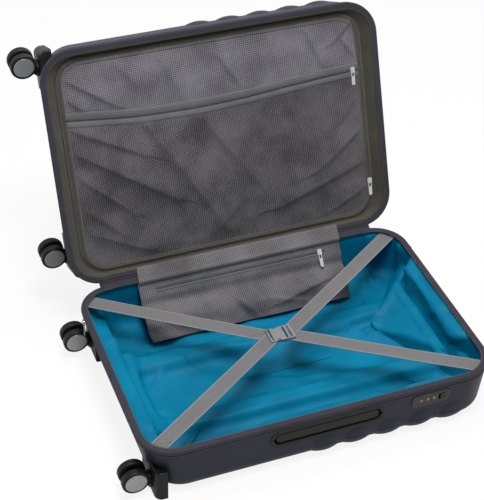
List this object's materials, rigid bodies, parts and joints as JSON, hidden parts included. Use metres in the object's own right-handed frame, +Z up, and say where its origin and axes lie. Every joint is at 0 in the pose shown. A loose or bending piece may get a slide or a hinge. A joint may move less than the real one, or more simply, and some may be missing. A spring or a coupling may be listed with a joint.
{
  "type": "hard shell suitcase",
  "caption": "Open hard shell suitcase on twin-wheel casters with ribbed shells, telescopic handle, combination lock, lining, packing straps and zip panel.",
  "frame": {"origin": "on the floor under the middle of the back shell, on the flat land of the first rib", "axes": "+X along the case from the wheels to the telescopic handle, +Y towards the hinge side, +Z up from the floor"},
  "size_m": [0.7213, 0.742, 0.5411],
  "materials": {
    "shell_navy": "moulded, fine grain, satin",
    "tape_navy": "woven tape",
    "lining_teal": "satin weave",
    "panel_grey": "jacquard weave",
    "flap_grey": "woven cloth",
    "webbing_grey": "webbing",
    "buckle_grey": "satin moulded",
    "wheel_black": "smooth",
    "disc_silver": "silver lacquer",
    "steel": "plain",
    "caster_black": "moulded",
    "tube_aluminium": "anodised",
    "handle_black": "moulded, soft",
    "dial_red": "moulded",
    "lock_dark": "moulded",
    "slider_metal": "polished"
  },
  "bodies": {
    "base": {"base_shell": "shell_navy", "base_zip_tape": "tape_navy", "base_lining": "lining_teal", "base_wheel_housings": "caster_black", "base_housing_screws": "steel", "hinge_strip": "tape_navy", "handle_trays": "handle_black", "lock_case": "lock_dark", "trolley_outer_tubes": "tube_aluminium", "trolley_foot_bracket": "handle_black", "trolley_bezel": "handle_black", "left_straps": "webbing_grey", "right_straps": "webbing_grey", "buckle_socket": "buckle_grey"},
    "lid": {"lid_shell": "shell_navy", "lid_zip_tape": "tape_navy", "lid_lining": "lining_teal", "lid_wheel_housings": "caster_black", "lid_housing_screws": "steel"},
    "trolley": {"trolley_inner_tubes": "tube_aluminium", "trolley_grip": "handle_black"},
    "trolley_button": {"trolley_button": "handle_black"},
    "side_handle": {"side_handle": "handle_black"},
    "top_handle": {"top_handle": "handle_black"},
    "lock_dial_1": {"lock_dial_1": "dial_red"},
    "lock_dial_2": {"lock_dial_2": "dial_red"},
    "lock_dial_3": {"lock_dial_3": "dial_red"},
    "lock_latch": {"lock_latch": "lock_dark"},
    "main_zip_slider_left": {"main_zip_slider_left": "slider_metal"},
    "main_zip_slider_right": {"main_zip_slider_right": "slider_metal"},
    "buckle_plug": {"buckle_plug": "buckle_grey"},
    "pocket_flap": {"pocket_flap": "flap_grey"},
    "flap_slider": {"flap_slider": "slider_metal"},
    "lid_panel": {"lid_panel": "panel_grey"},
    "lid_edge_slider": {"lid_edge_slider": "slider_metal"},
    "lid_pocket_slider": {"lid_pocket_slider": "slider_metal"},
    "caster_base_front": {"caster_fork_base_front": "caster_black", "caster_axle_base_front": "steel"},
    "wheel_base_front_near": {"wheel_base_front_near": "wheel_black", "hub_disc_base_front_near": "disc_silver"},
    "wheel_base_front_far": {"wheel_base_front_far": "wheel_black", "hub_disc_base_front_far": "disc_silver"},
    "caster_base_rear": {"caster_fork_base_rear": "caster_black", "caster_axle_base_rear": "steel"},
    "wheel_base_rear_near": {"wheel_base_rear_near": "wheel_black", "hub_disc_base_rear_near": "disc_silver"},
    "wheel_base_rear_far": {"wheel_base_rear_far": "wheel_black", "hub_disc_base_rear_far": "disc_silver"},
    "caster_lid_front": {"caster_fork_lid_front": "caster_black", "caster_axle_lid_front": "steel"},
    "wheel_lid_front_near": {"wheel_lid_front_near": "wheel_black", "hub_disc_lid_front_near": "disc_silver"},
    "wheel_lid_front_far": {"wheel_lid_front_far": "wheel_black", "hub_disc_lid_front_far": "disc_silver"},
    "caster_lid_rear": {"caster_fork_lid_rear": "caster_black", "caster_axle_lid_rear": "steel"},
    "wheel_lid_rear_near": {"wheel_lid_rear_near": "wheel_black", "hub_disc_lid_rear_near": "disc_silver"},
    "wheel_lid_rear_far": {"wheel_lid_rear_far": "wheel_black", "hub_disc_lid_rear_far": "disc_silver"}
  },
  "joints": [
    {"name": "lid_hinge", "type": "hinge", "parent": "base", "child": "lid", "pos_m": [0, 0.232, 0.1155], "axis": [-1, 0, 0], "range_deg": [-112.5, 67.5]},
    {"name": "swivel_base_front", "type": "hinge", "parent": "base", "child": "caster_base_front", "pos_m": [-0.322, -0.189, 0.024], "axis": [-1, 0, 0], "continuous": true},
    {"name": "spin_base_front_near", "type": "hinge", "parent": "caster_base_front", "child": "wheel_base_front_near", "pos_m": [-0.352, -0.201, 0.04], "axis": [0, 1, 0], "continuous": true},
    {"name": "spin_base_front_far", "type": "hinge", "parent": "caster_base_front", "child": "wheel_base_front_far", "pos_m": [-0.352, -0.177, 0.04], "axis": [0, 1, 0], "continuous": true},
    {"name": "swivel_base_rear", "type": "hinge", "parent": "base", "child": "caster_base_rear", "pos_m": [-0.322, 0.189, 0.024], "axis": [-1, 0, 0], "continuous": true},
    {"name": "spin_base_rear_near", "type": "hinge", "parent": "caster_base_rear", "child": "wheel_base_rear_near", "pos_m": [-0.352, 0.177, 0.04], "axis": [0, 1, 0], "continuous": true},
    {"name": "spin_base_rear_far", "type": "hinge", "parent": "caster_base_rear", "child": "wheel_base_rear_far", "pos_m": [-0.352, 0.201, 0.04], "axis": [0, 1, 0], "continuous": true},
    {"name": "swivel_lid_front", "type": "hinge", "parent": "lid", "child": "caster_lid_front", "pos_m": [-0.322, 0.47764, 0.46944], "axis": [-1, 0, 0], "continuous": true},
    {"name": "spin_lid_front_near", "type": "hinge", "parent": "caster_lid_front", "child": "wheel_lid_front_near", "pos_m": [-0.352, 0.46564, 0.48544], "axis": [0, 1, 0], "continuous": true},
    {"name": "spin_lid_front_far", "type": "hinge", "parent": "caster_lid_front", "child": "wheel_lid_front_far", "pos_m": [-0.352, 0.48964, 0.48544], "axis": [0, 1, 0], "continuous": true},
    {"name": "swivel_lid_rear", "type": "hinge", "parent": "lid", "child": "caster_lid_rear", "pos_m": [-0.322, 0.33299, 0.12021], "axis": [-1, 0, 0], "continuous": true},
    {"name": "spin_lid_rear_near", "type": "hinge", "parent": "caster_lid_rear", "child": "wheel_lid_rear_near", "pos_m": [-0.352, 0.32099, 0.13621], "axis": [0, 1, 0], "continuous": true},
    {"name": "spin_lid_rear_far", "type": "hinge", "parent": "caster_lid_rear", "child": "wheel_lid_rear_far", "pos_m": [-0.352, 0.34499, 0.13621], "axis": [0, 1, 0], "continuous": true},
    {"name": "trolley_slide", "type": "slide", "parent": "base", "child": "trolley", "axis": [1, 0, 0], "range_m": [0, 0.33]},
    {"name": "trolley_button_press", "type": "slide", "parent": "trolley", "child": "trolley_button", "axis": [-1, 0, 0], "range_m": [0, 0.004], "stiffness_N_per_m": 800, "springref_m": -0.001},
    {"name": "side_handle_pull", "type": "slide", "parent": "base", "child": "side_handle", "axis": [0, -1, 0], "range_m": [0, 0.009], "stiffness_N_per_m": 300, "springref_m": -0.001},
    {"name": "top_handle_pull", "type": "slide", "parent": "base", "child": "top_handle", "axis": [1, 0, 0], "range_m": [0, 0.009], "stiffness_N_per_m": 300, "springref_m": -0.001},
    {"name": "dial_1_turn", "type": "hinge", "parent": "base", "child": "lock_dial_1", "pos_m": [0.182, -0.22062, 0.084], "axis": [1, 0, 0], "continuous": true},
    {"name": "dial_2_turn", "type": "hinge", "parent": "base", "child": "lock_dial_2", "pos_m": [0.195, -0.22062, 0.084], "axis": [1, 0, 0], "continuous": true},
    {"name": "dial_3_turn", "type": "hinge", "parent": "base", "child": "lock_dial_3", "pos_m": [0.208, -0.22062, 0.084], "axis": [1, 0, 0], "continuous": true},
    {"name": "latch_slide", "type": "slide", "parent": "base", "child": "lock_latch", "axis": [-1, 0, 0], "range_m": [0, 0.004], "stiffness_N_per_m": 400, "springref_m": -0.001},
    {"name": "main_zip_left", "type": "slide", "parent": "base", "child": "main_zip_slider_left", "axis": [0, -1, 0], "range_m": [0, 0.3]},
    {"name": "main_zip_right", "type": "slide", "parent": "base", "child": "main_zip_slider_right", "axis": [0, -1, 0], "range_m": [0, 0.3]},
    {"name": "buckle_release", "type": "slide", "parent": "base", "child": "buckle_plug", "axis": [1, 0, 0], "range_m": [0, 0.03], "deforming": ["right_straps"]},
    {"name": "flap_lift", "type": "hinge", "parent": "base", "child": "pocket_flap", "pos_m": [0, 0.22173, 0.11], "axis": [-1, 0, 0], "range_deg": [0, 20]},
    {"name": "flap_zip", "type": "slide", "parent": "pocket_flap", "child": "flap_slider", "axis": [-1, 0, 0], "range_m": [0, 0.33]},
    {"name": "panel_swing", "type": "hinge", "parent": "lid", "child": "lid_panel", "pos_m": [0, 0.23626, 0.12369], "axis": [1, 0, 0], "range_deg": [0, 50]},
    {"name": "panel_edge_zip", "type": "slide", "parent": "lid_panel", "child": "lid_edge_slider", "axis": [0, 0.3827, 0.9239], "range_m": [0, 0.28]},
    {"name": "panel_pocket_zip", "type": "slide", "parent": "lid_panel", "child": "lid_pocket_slider", "axis": [-1, 0, 0], "range_m": [0, 0.55]}
  ]
}
